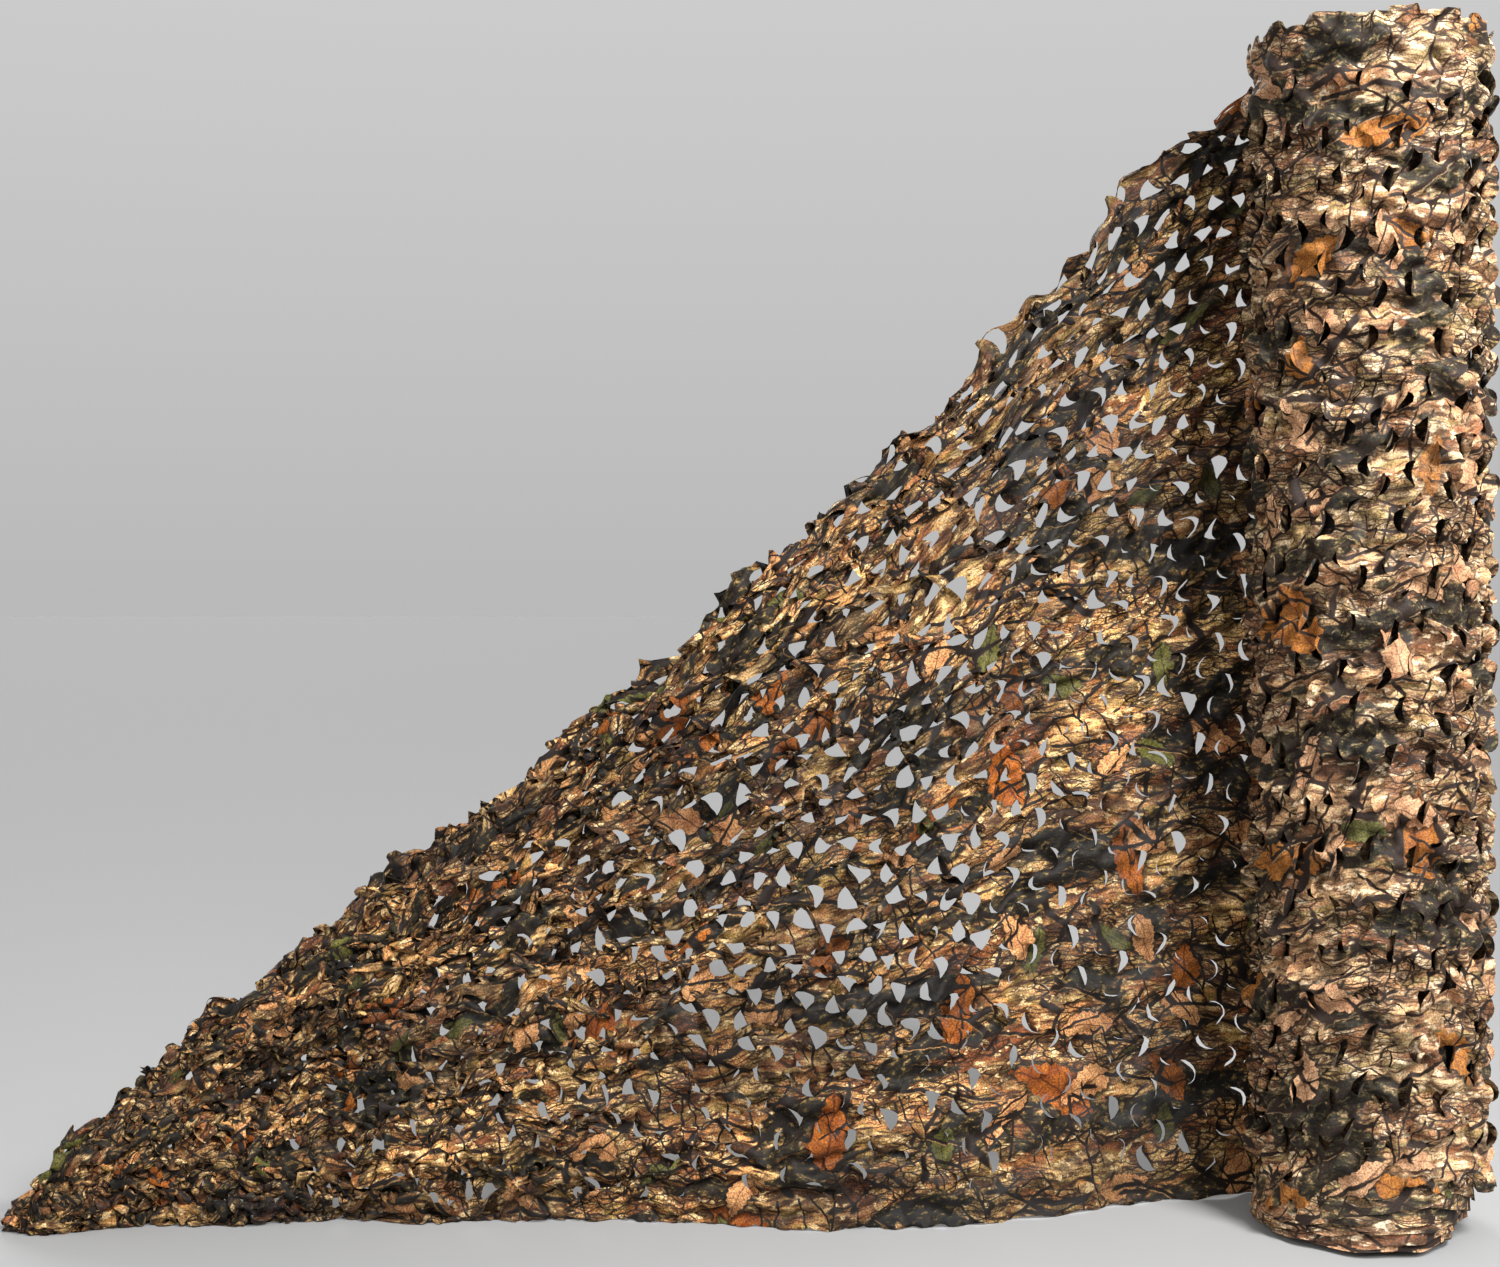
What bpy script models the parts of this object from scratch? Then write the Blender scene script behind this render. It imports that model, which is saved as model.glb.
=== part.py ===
"""Camouflage net: one length of die-cut netting, most of it wound into a roll that stands on end.

The loose end comes off the back of the roll, runs out to the left and sinks to a point on the floor.
Metres, +Z up. The origin is the centre of the roll's flat foot, and the loose end runs along -X.
"""

import math
import random

import bmesh
import bpy

# The netting
NET_WIDTH = 1.500        # selvage to selvage, so also the height of the standing roll
CLOTH = 0.003            # cloth with its cut tongues, pressed flat
FITTING_GAP = 0.0003     # between the loose end and the turn that it leaves

# The wound roll
FOOT_RADIUS = 0.141      # to the last turn, at the floor
TOP_RADIUS = 0.148       # and at the top, where the winding is looser
TURN_LOFT = 0.006        # how far one turn lifts the next
LEAVE_ANGLE = math.pi / 2
ROLL_COLUMNS = 36        # corners round the roll
ROLL_ROWS = 58           # rows of raised tongues up the roll
TONGUE_RAISE = 0.010     # how far cut tongues stand off a turn
BULGE = 0.003            # slack in the last turn
BULGE_HEIGHT = 0.43
RIM_RAGGED = 0.005       # up and down of the cut selvage round the top
SPIRAL_RIDGE = 0.005     # height of the coil that shows on the top end
SPIRAL_TURNS = 4         # bunches of turns that show there
TOP_RINGS = 9
LIFT_LOW = 0.012         # last turn's selvage above the floor, left side
LIFT_HIGH = 0.058        # and right side, where the winding runs askew
LIFT_SIDE = math.radians(-20)

# Underside of the roll: (share of the radius, share of the last turn's lift)
UNDERSIDE = (
    (0.955, 1.00),
    (0.945, 0.45),
    (0.905, 0.45),
    (0.895, 0.00),
)

# The loose end
REACH = 1.716            # from the roll to the point on the floor
CELLS = 20               # cut cells from the roll to the point
TOOTH = 0.008            # cut tongues standing out along the sloping selvage
TONGUE_LIFT = 0.010      # cut tongues standing out of the cloth, towards the front
CREASE = 0.003           # small dents between the cuts
CUT_STAGGER = 0.005      # left cuts sit higher than right ones, as the two halves of an S
CUT_LEAN = math.radians(-12)
SELVAGE_CUT = 0.86       # size of the cuts next to the selvage on the floor
WAVE_RISE = 0.006        # slack waves along the loose end
WAVE_LENGTH = 0.32
LIFT_STARTS = 0.06       # nearer the roll the tongues lie flat against it
LIFT_FULL = 0.12
FLOOR_FOLDS_START = 0.5
FLOOR_FOLDS_FULL = 0.9

# Sloping selvage: (distance from the roll, height)
SLOPING_EDGE = (
    (0.00, 1.490),
    (0.12, 1.462),
    (0.25, 1.345),
    (0.53, 1.040),
    (0.97, 0.645),
    (1.48, 0.228),
    (REACH, 0.0),
)

# Where the cloth stands on the floor: (distance from the roll, depth behind the roll's middle)
FLOOR_LINE = (
    (0.00, FOOT_RADIUS - TURN_LOFT / 2),
    (0.10, 0.128),
    (0.20, 0.098),
    (0.35, 0.052),
    (0.55, -0.020),
    (0.80, -0.008),
    (1.05, 0.020),
    (1.20, 0.000),
    (1.33, 0.026),
    (1.52, -0.020),
    (REACH, -0.015),
)

# Where its sloping selvage hangs: (distance from the roll, depth behind the roll's middle)
EDGE_LINE = (
    (0.00, TOP_RADIUS - TURN_LOFT / 2),
    (0.15, 0.140),
    (0.50, 0.100),
    (1.00, 0.055),
    (REACH, -0.015),
)

# Main folds along the slope: (distance below the selvage, rise to the front, spread)
SLOPE_FOLDS = ((0.035, 0.013, 0.030), (0.125, -0.015, 0.040), (0.225, 0.013, 0.045))

# Main folds along the floor: (height, rise to the front, spread)
FLOOR_FOLDS = ((0.085, 0.012, 0.035), (0.170, -0.010, 0.040))

# One opening, twice as far apart as in the cloth. From low left round by the top: (right, up, lift of rim)
CRESCENT = (
    (-0.011, -0.019, -0.2),
    (-0.022, 0.000, -0.3),
    (-0.011, 0.019, -0.2),
    (0.012, 0.025, 0.2),
    (0.007, 0.011, 0.7),
    (0.003, 0.000, 1.0),
    (0.007, -0.011, 0.7),
    (0.012, -0.025, 0.2),
)
MIRRORED = (6, 5, 4, 3, 2, 1, 0, 7)

COLOURS = {"roll": (0.23, 0.17, 0.11, 1.0), "loose": (0.19, 0.14, 0.09, 1.0)}


def clear_scene():
    for old in list(bpy.data.objects):
        bpy.data.objects.remove(old, do_unlink=True)


def ramp(value, start, end):
    """0 before start, 1 after end, and smooth between."""
    share = min(1.0, max(0.0, (value - start) / (end - start)))
    return share * share * (3 - 2 * share)


def smooth_line(table, at):
    """Smooth curve through the table's points, read at one distance."""
    last = len(table) - 1
    step = next((k for k in range(last) if at <= table[k + 1][0]), last - 1)

    def slope(k):
        before, after = table[max(k - 1, 0)], table[min(k + 1, last)]
        return (after[1] - before[1]) / (after[0] - before[0])

    (start, low), (end, high) = table[step], table[step + 1]
    length = end - start
    t = (at - start) / length
    from_low = (1 + 2 * t) * (1 - t) ** 2 * low + t * (1 - t) ** 2 * length * slope(step)
    from_high = t * t * (3 - 2 * t) * high + t * t * (t - 1) * length * slope(step + 1)
    return from_low + from_high


def cloth_material(name, colour):
    material = bpy.data.materials.new(name)
    material.use_nodes = True
    shader = material.node_tree.nodes["Principled BSDF"]
    shader.inputs["Base Color"].default_value = colour
    shader.inputs["Roughness"].default_value = 0.85
    shader.inputs["Metallic"].default_value = 0.0
    return material


def add_object(name, mesh_builder, material):
    mesh = bpy.data.meshes.new(name)
    mesh_builder.normal_update()
    mesh_builder.to_mesh(mesh)
    mesh_builder.free()
    mesh.materials.append(material)
    mesh.shade_flat()
    piece = bpy.data.objects.new(name, mesh)
    bpy.context.scene.collection.objects.link(piece)
    return piece


# The wound roll

def roll_radius(column, height):
    """The section is one turn of a spiral, with its step where the loose end leaves."""
    last_turn = FOOT_RADIUS + (TOP_RADIUS - FOOT_RADIUS) * height / NET_WIDTH
    return last_turn - TURN_LOFT * (1 - column / ROLL_COLUMNS)


def roll_angle(column):
    return LEAVE_ANGLE + 2 * math.pi * column / ROLL_COLUMNS


def on_circle(radius, angle, height):
    return (radius * math.cos(angle), radius * math.sin(angle), height)


def roll_relief(column, row, height, chance):
    """Cut tongues stand off the last turn in every second place, none of them where the loose end leaves."""
    from_step = min(column, ROLL_COLUMNS - column)
    tongue = chance.uniform(0.4, 1.0) if (column + row) % 2 else chance.uniform(-0.4, 0.0)
    slack = math.sin(2 * math.pi * height / BULGE_HEIGHT + column / 5)
    return (TONGUE_RAISE * tongue + BULGE * slack) * ramp(from_step, 1, 4)


def lower_edge(angle):
    askew = (1 + math.cos(angle - LIFT_SIDE)) / 2
    return LIFT_LOW + (LIFT_HIGH - LIFT_LOW) * askew ** 2


def spiral_ridge(share, column):
    """The turns' selvages on the top end: a ridge that runs inwards once round for each bunch of turns."""
    phase = (1 - share) * SPIRAL_TURNS + column / ROLL_COLUMNS
    return SPIRAL_RIDGE * (2 * abs(2 * (phase % 1) - 1) - 1)


def make_roll(material):
    chance = random.Random(5)
    builder = bmesh.new()
    columns = []
    for column in range(ROLL_COLUMNS + 1):
        angle = roll_angle(column)
        ragged = RIM_RAGGED * (1 if column % 2 else -0.6) * ramp(min(column, ROLL_COLUMNS - column), 0, 1)
        low = lower_edge(angle) + ragged
        high = NET_WIDTH - RIM_RAGGED + ragged
        stack = []
        for row in range(ROLL_ROWS + 1):
            height = low + (high - low) * row / ROLL_ROWS
            radius = roll_radius(column, height)
            if 0 < row < ROLL_ROWS:
                radius += roll_relief(column, row, height, chance)
            stack.append(builder.verts.new(on_circle(radius, angle, height)))
        columns.append(stack)

    for column in range(ROLL_COLUMNS):
        left, right = columns[column], columns[column + 1]
        for row in range(ROLL_ROWS):
            add_split_quad(builder, left[row], right[row], right[row + 1], left[row + 1])
    first, last = columns[0], columns[-1]
    for row in range(ROLL_ROWS):
        builder.faces.new((last[row], first[row], first[row + 1], last[row + 1]))

    rim = [stack[-1] for stack in columns]
    hem = [stack[0] for stack in columns]
    close_top(builder, rim)
    close_foot(builder, hem)
    return add_object("net_roll", builder, material)


def add_split_quad(builder, a, b, c, d):
    builder.faces.new((a, b, c))
    builder.faces.new((a, c, d))


def join_rings(builder, outer, inner, upwards):
    """The outer ring may have one corner more than the inner: that is the step of the last turn."""
    count = len(inner)
    for k in range(count):
        corners = [outer[k], outer[(k + 1) % len(outer)], inner[(k + 1) % count], inner[k]]
        if not upwards:
            corners.reverse()
        add_split_quad(builder, *corners)
    if len(outer) > count:
        step = [outer[count], outer[0], inner[0]]
        if not upwards:
            step.reverse()
        builder.faces.new(step)


def close_top(builder, rim):
    outer = rim
    for ring in range(1, TOP_RINGS):
        share = 1 - ring / TOP_RINGS
        inner = []
        for column in range(ROLL_COLUMNS):
            height = NET_WIDTH - 2 * RIM_RAGGED + spiral_ridge(share, column)
            radius = share * roll_radius(column, height)
            inner.append(builder.verts.new(on_circle(radius, roll_angle(column), height)))
        join_rings(builder, outer, inner, upwards=True)
        outer = inner
    middle = builder.verts.new((0.0, 0.0, NET_WIDTH - 2 * RIM_RAGGED))
    for k in range(ROLL_COLUMNS):
        builder.faces.new((outer[k], outer[(k + 1) % ROLL_COLUMNS], middle))


def close_foot(builder, hem):
    outer = hem
    for share, lift in UNDERSIDE:
        inner = []
        for column in range(ROLL_COLUMNS):
            angle = roll_angle(column)
            height = lift * lower_edge(angle)
            inner.append(builder.verts.new(on_circle(share * roll_radius(column, height), angle, height)))
        join_rings(builder, outer, inner, upwards=False)
        outer = inner
    builder.faces.new(list(reversed(outer)))


# The loose end

def cloth_depth(distance, height):
    """Depth of the cloth's middle: its stand, its main folds, and flat against the roll at first."""
    edge = smooth_line(SLOPING_EDGE, distance)
    share = height / edge if edge > 0 else 0.0
    stand = smooth_line(FLOOR_LINE, distance) * (1 - share) + smooth_line(EDGE_LINE, distance) * share
    slope = math.cos(math.atan2(NET_WIDTH, REACH))
    folds = 0.0
    for below, rise, spread in SLOPE_FOLDS:
        folds += rise * math.exp(-(((edge - height) * slope - below) / spread) ** 2)
    low_folds = 0.0
    for above, rise, spread in FLOOR_FOLDS:
        low_folds += rise * math.exp(-((height - above) / spread) ** 2)
    folds += WAVE_RISE * math.sin(2 * math.pi * distance / WAVE_LENGTH + 5 * share)
    folds = folds * ramp(distance, LIFT_FULL, 3 * LIFT_FULL)
    folds += low_folds * ramp(distance, FLOOR_FOLDS_START, FLOOR_FOLDS_FULL)
    return stand - folds


class Sheet:
    """The middle surface of the loose end: its corners, and the triangles between them."""

    def __init__(self):
        self.corners = []
        self.triangles = []
        self.known = {}

    def corner(self, distance, height, forward=0.0, key=None):
        if key is not None and key in self.known:
            return self.known[key]
        forward *= ramp(distance, LIFT_STARTS, LIFT_FULL)
        self.corners.append((-FITTING_GAP - distance, cloth_depth(distance, height) - forward, height))
        if key is not None:
            self.known[key] = len(self.corners) - 1
        return len(self.corners) - 1

    def quad(self, a, b, c, d):
        self.triangles += [(a, b, c), (a, c, d)]


def lattice_place(column, row):
    """Cells stand in columns that shorten towards the point. Halves are the middles of a cell's sides."""
    distance = REACH * column / CELLS
    rows = CELLS - column
    edge = smooth_line(SLOPING_EDGE, distance)
    return distance, (edge * row / rows if rows > 0 else 0.0)


def lattice_corner(sheet, column, row, chance):
    key = (round(2 * column), round(2 * row))
    if key in sheet.known:
        return sheet.known[key]
    distance, height = lattice_place(column, row)
    return sheet.corner(distance, height, CREASE * chance.uniform(-1, 1), key)


def cell_ring(sheet, column, row, chance):
    """Eight corners round a cell, from low left round by the top."""
    around = ((1, 0), (1, 0.5), (1, 1), (0.5, 1), (0, 1), (0, 0.5), (0, 0), (0.5, 0))
    return [lattice_corner(sheet, column + across, row + up, chance) for across, up in around]


def cut_cell(sheet, column, row, chance):
    """A cell with one opening, whose lip stands forward like a cut tongue."""
    ring = cell_ring(sheet, column, row, chance)
    middle, height = lattice_place(column + 0.5, row + 0.5)
    mirrored = (column + row) % 2
    height += -CUT_STAGGER if mirrored and row > 0 else CUT_STAGGER
    size = chance.uniform(0.88, 1.04) * (SELVAGE_CUT if row == 0 else 1.0)
    lean = CUT_LEAN * chance.uniform(0.3, 1.7)
    rim = []
    for k in range(len(CRESCENT)):
        right, up, lift = CRESCENT[MIRRORED[k]] if mirrored else CRESCENT[k]
        right = -right if mirrored else right
        along = size * (right * math.cos(lean) - up * math.sin(lean))
        above = size * (right * math.sin(lean) + up * math.cos(lean))
        rim.append(sheet.corner(middle - along, height + above, TONGUE_LIFT * lift))
    for k in range(len(ring)):
        after = (k + 1) % len(ring)
        sheet.quad(ring[k], rim[k], rim[after], ring[after])


def edge_cell(sheet, column, chance):
    """The half cell under the sloping selvage, with two teeth along it."""
    row = CELLS - 1 - column
    foot = [lattice_corner(sheet, column + across, row + up, chance)
            for across, up in ((1, 0), (0.5, 0), (0, 0), (0, 0.5), (0, 1))]
    (low_far, low), (high_near, high) = lattice_place(column + 1, row), lattice_place(column, row + 1)
    teeth = []
    for share, out in ((0.75, 1.0), (0.5, -0.7), (0.25, 1.0)):
        distance = high_near + (low_far - high_near) * (1 - share)
        height = high + (low - high) * (1 - share)
        reach = TOOTH * out * chance.uniform(0.6, 1.2) * ramp(distance, 0, LIFT_STARTS)
        teeth.append(sheet.corner(distance + 0.66 * reach, height + 0.75 * reach, 0.3 * reach))
    outline = foot + teeth
    middle = sheet.corner((2 * high_near + low_far) / 3, (low * 2 + high) / 3, TONGUE_LIFT * 0.5)
    for k in range(len(outline)):
        sheet.triangles.append((outline[k], outline[(k + 1) % len(outline)], middle))


def thicken(sheet):
    """Front and back of the cloth, half its thickness either side of the middle surface, and its rims."""
    builder = bmesh.new()
    front = [builder.verts.new((x, y - CLOTH / 2, z)) for x, y, z in sheet.corners]
    back = [builder.verts.new((x, y + CLOTH / 2, z)) for x, y, z in sheet.corners]
    sides = set()
    for a, b, c in sheet.triangles:
        builder.faces.new((front[a], front[b], front[c]))
        builder.faces.new((back[c], back[b], back[a]))
        sides.update(((a, b), (b, c), (c, a)))
    for a, b in sorted(sides):
        if (b, a) not in sides:
            builder.faces.new((front[b], front[a], back[a], back[b]))
    return builder


def make_loose_end(material):
    chance = random.Random(11)
    sheet = Sheet()
    for column in range(CELLS):
        for row in range(CELLS - 1 - column):
            cut_cell(sheet, column, row, chance)
        edge_cell(sheet, column, chance)
    return add_object("loose_end", thicken(sheet), material)


clear_scene()
make_roll(cloth_material("roll_netting", COLOURS["roll"]))
make_loose_end(cloth_material("loose_netting", COLOURS["loose"]))
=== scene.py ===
import math

import bpy
import numpy as np
from mathutils.geometry import delaunay_2d_cdt
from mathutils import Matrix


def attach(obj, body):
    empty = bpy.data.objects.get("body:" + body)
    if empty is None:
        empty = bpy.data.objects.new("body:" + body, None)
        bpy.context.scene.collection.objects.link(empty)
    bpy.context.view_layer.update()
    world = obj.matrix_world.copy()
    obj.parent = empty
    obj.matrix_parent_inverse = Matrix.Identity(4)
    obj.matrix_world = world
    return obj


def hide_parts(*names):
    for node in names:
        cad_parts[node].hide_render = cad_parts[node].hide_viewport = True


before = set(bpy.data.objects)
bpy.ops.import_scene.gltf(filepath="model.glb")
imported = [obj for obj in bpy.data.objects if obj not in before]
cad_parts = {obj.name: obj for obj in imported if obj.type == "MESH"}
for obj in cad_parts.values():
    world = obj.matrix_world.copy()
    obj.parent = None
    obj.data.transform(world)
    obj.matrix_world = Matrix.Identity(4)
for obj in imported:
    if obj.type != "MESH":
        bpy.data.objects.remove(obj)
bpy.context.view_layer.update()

# The inner turns
# The first and longest part of the length: printed woven polyester netting, wound tight and stood on end.
# Only its turns' ragged selvages show, at the roll's two ends, and its side behind the outer turn's cuts.

# Places on the flat cloth are (along, up) in metres: along is 0 where the cloth leaves the roll and grows
# towards the roll's middle, and up runs from the lower selvage to the upper one.
CLOTH_WIDTH = 1.65               # flat; it stands 1.5 m wide, drawn in by its crumpling
STANDING_WIDTH = 1.497
OUTER_LENGTH = 1.03              # of cloth in the outer turn
LEAVE_ANGLE = math.pi / 2        # the cloth leaves the roll at its back
CORE_RADIUS, HUB_RADIUS = 0.122, 0.012
TURN_PITCH, STEPS_A_TURN = 0.0052, 140

EDGE_DEPTH, EDGE_ROWS = 0.085, 7
ROW_POWER = 1.4                  # the rows lie closer together near the selvage
UPPER_DROP = 0.010               # of the upper selvages below the standing width
UPPER_FLARE = 0.012              # the outermost upper selvages stand out this far from the core
FLARE_TURNS = 3                  # and farther in it fades, by two thirds over this many turns
FRILL_RADIUS = 0.141             # the first lower selvages all spread about this far
FRILL_TURNS = (5.0, 9.0)         # and from the one to the other of these turns no longer
LIFT_SIDE = math.radians(-75)    # the side where the outer lower selvages stand highest off the floor
TUCKED_SIDE = math.radians(-20)  # and where the inner ones are hardly spread
TUCKED_SHARE = 0.8
CORE_LIFTS = (0.066, 0.052, 0.039, 0.027, 0.016, 0.007, 0.0)    # of the first turns' lower selvages
SELVAGE_GAP = 0.002              # they lie no closer to the floor
# How the selvages stray: level flaps (span, size), slow waves (spans, size), and ripples in and out.
UPPER_FLAPS, LOWER_FLAPS = (0.055, 0.008), (0.06, 0.005)
UPPER_WAVES, LOWER_WAVES = ((0.9, 0.33, 0.15), 0.010), ((0.7, 0.27, 0.11), 0.008)
UPPER_RIPPLES, LOWER_RIPPLES = ((0.21, 0.10, 0.05), 0.004), ((0.16, 0.09, 0.05), 0.006)
ANY_PHASE = 6.3                  # a wave's phase is drawn between 0 and this

SIDE_ROWS, SIDE_INSET = 70, 0.03    # of the core's side, which stops short of the two ends
LUMPS, LUMP_SIZE = 17, 0.0040       # round the core
FINE_LUMPS, FINE_LUMP_SIZE = 31, 0.0025
SIDE_SINK = 0.002
SIDE_SHIFT = 0.3                    # the side has the print of the cloth this far on


def ramp(value, start, end):
    """0 up to the start, 1 past the end, and a smooth rise between."""
    share = np.clip((value - start) / (end - start), 0, 1)
    return share * share * (3 - 2 * share)


def wander(along, spans, size, chance):
    """An uneven line along the cloth, made of waves of these spans."""
    waves = (np.sin(2 * math.pi * along / span + chance.uniform(0, ANY_PHASE)) for span in spans)
    return size * sum(waves) / len(spans)


def steps_along(along, span, size, chance):
    """A stepped line along the cloth: level flaps about a span long, each at its own height."""
    count = int(2 * np.ptp(along) / span) + 4
    knots = along.min() + np.cumsum(chance.uniform(0.5, 1.5, count) * span)
    heights = chance.uniform(-size, size, count + 1)
    return heights[np.searchsorted(knots, along)]


def towards(angle, side, power):
    """1 on this side of the roll and 0 on the opposite one; a high power keeps it to near the side."""
    return ((1 + np.cos(angle - side)) / 2) ** power


def core_spiral():
    """The core's winding from outside in: turns, angles, radii, and places along the cloth."""
    turns = (CORE_RADIUS - HUB_RADIUS) / TURN_PITCH
    turn = np.linspace(0, turns, int(turns * STEPS_A_TURN))
    angle, radius = LEAVE_ANGLE - 2 * math.pi * turn, CORE_RADIUS - TURN_PITCH * turn
    arcs = 0.5 * (radius[1:] + radius[:-1]) * -np.diff(angle)
    return turn, angle, radius, OUTER_LENGTH + np.concatenate(([0], np.cumsum(arcs)))


def grid_faces(first, rows, columns):
    """Four-sided faces over a grid of points, the first of which has this number."""
    grid = first + np.arange(rows * columns).reshape(rows, columns)
    return np.stack((grid[:-1, :-1], grid[:-1, 1:], grid[1:, 1:], grid[1:, :-1]), 2).reshape(-1, 4)


def core_edge(upper, chance):
    """The ragged selvages of the core's turns at one end of the roll: points and flat places, row by row."""
    turn, angle, radius, along = core_spiral()
    if upper:
        flare = UPPER_FLARE * np.exp(-turn / FLARE_TURNS)
        edge = STANDING_WIDTH - UPPER_DROP + steps_along(along, *UPPER_FLAPS, chance)
        edge = edge + wander(along, *UPPER_WAVES, chance)
        ripples = [wander(along, *UPPER_RIPPLES, chance) for _ in (0, 1)]
    else:
        flare = (FRILL_RADIUS - radius) * (1 - ramp(turn, *FRILL_TURNS))
        flare = flare * (1 - TUCKED_SHARE * towards(angle, TUCKED_SIDE, 6))
        edge = np.interp(turn, range(len(CORE_LIFTS)), CORE_LIFTS) * towards(angle, LIFT_SIDE, 2)
        edge = edge + SELVAGE_GAP + np.abs(wander(along, *LOWER_WAVES, chance))
        edge = edge + 0.5 * (LOWER_FLAPS[1] + steps_along(along, *LOWER_FLAPS, chance))
        ripples = [wander(along, *LOWER_RIPPLES, chance) for _ in (0, 1)]
    points, places = [], []
    for row in range(EDGE_ROWS):
        share = (row / (EDGE_ROWS - 1)) ** ROW_POWER
        z = edge - EDGE_DEPTH * share if upper else edge + EDGE_DEPTH * share
        out = radius + flare * (1 - share) + ripples[0] * (1 - share) + 0.5 * ripples[1] * share
        points.append(np.stack((out * np.cos(angle), out * np.sin(angle), z), 1))
        places.append(np.column_stack((along, z * CLOTH_WIDTH / STANDING_WIDTH, 0 * along)))
    return np.concatenate(points), np.concatenate(places), len(along)


def core_side():
    """The lumpy side of the core, in the dark behind the outer turn."""
    turn, angle, radius, along = (values[:STEPS_A_TURN + 1] for values in core_spiral())
    points, places = [], []
    for row in range(SIDE_ROWS + 1):
        z = SIDE_INSET + (STANDING_WIDTH - 2 * SIDE_INSET) * row / SIDE_ROWS
        lean, swell = 2.1 * math.sin(1.3 * row), math.sin(1.9 * row + 1)
        lump = LUMP_SIZE * np.sin(LUMPS * angle + lean) * swell
        lump = lump + FINE_LUMP_SIZE * np.sin(FINE_LUMPS * angle + row) - SIDE_SINK
        out = radius + TURN_PITCH * turn + lump
        points.append(np.stack((out * np.cos(angle), out * np.sin(angle), 0 * angle + z), 1))
        places.append(np.column_stack((along + SIDE_SHIFT, 0 * angle + z, 0 * angle)))
    return np.concatenate(points), np.concatenate(places), len(along)


DYE_SHARES = (0.69, 0.60, 0.54)     # of red, green and blue, at full strength


def dye(*levels):
    """The colour of cloth that looks like these screen levels in this studio's light."""
    return tuple(share * ((level / 255 + 0.055) / 1.055) ** 2.4
                 for share, level in zip(DYE_SHARES, levels)) + (1,)


# The bark's and the deep shade's colours by the level of an uneven field.
BARK = ((0.26, dye(74, 50, 34)), (0.36, dye(150, 112, 76)), (0.43, dye(226, 196, 146)),
        (0.49, dye(206, 160, 114)), (0.54, dye(164, 146, 92)), (0.60, dye(232, 206, 158)),
        (0.67, dye(150, 104, 70)), (0.76, dye(84, 58, 42)))
DEEP_SHADE = ((0.42, dye(16, 15, 13)), (0.52, dye(34, 36, 24)), (0.60, dye(76, 72, 44)),
              (0.70, dye(168, 150, 108)))
RUST, STREAK, CHIP, CRACK = dye(156, 98, 60), dye(96, 68, 46), dye(246, 228, 188), dye(48, 35, 25)
LEAF_SHADE, TWIG, LIT_TWIG = dye(30, 23, 16), dye(44, 31, 22), dye(176, 150, 112)
# Rust-brown, green and tan leaves: how many a metre, half length, half width, how many of their places hold
# one, the shift of their pattern, and the colours of their veins and bodies.
LEAVES = (
    (6.0, 0.060, 0.024, 0.30, 51.0, dye(84, 44, 20),
     ((0.2, dye(100, 62, 30)), (0.5, dye(184, 124, 52)), (0.8, dye(146, 88, 38)))),
    (7.5, 0.044, 0.017, 0.17, 57.0, dye(46, 50, 28),
     ((0.2, dye(70, 76, 40)), (0.5, dye(122, 124, 70)), (0.8, dye(92, 96, 52)))),
    (8.5, 0.046, 0.018, 0.40, 63.0, dye(92, 60, 40),
     ((0.2, dye(160, 112, 76)), (0.5, dye(222, 182, 138)), (0.8, dye(186, 136, 98)))))
# Twigs: angle, how many a metre along and across them, width, shift, how rare, and whether a side is lit.
TWIGS = ((0.35, 4.0, 15.0, 0.040, 31.0, 0.50, True),
         (-0.5, 8.0, 26.0, 0.046, 37.0, 0.50, False),
         (1.25, 12.0, 36.0, 0.050, 43.0, 0.51, False))
LIT_OFFSET = 0.0018
# A leaf's form, in shares of its half length and half width. Pairs are where a soft edge starts and ends.
LEAF_GROWTH, LEAST_LEAF = 0.5, 0.7
LEAF_BOW, LEAF_TAPER, LEAF_TRIM = 0.35, 0.35, 0.12
TOOTH_PITCH, TOOTH_SLOPE = 0.11, 1.6
LEAF_SHADE_REACH = 0.45
MIDRIB, SIDE_VEIN = (0.07, 0.03), (0.016, 0.004)
VEIN_PITCH, VEIN_SLANT, VEIN_STRENGTH = 0.11, 0.22, 0.7
WHOLE_TURN = 6.283


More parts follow.
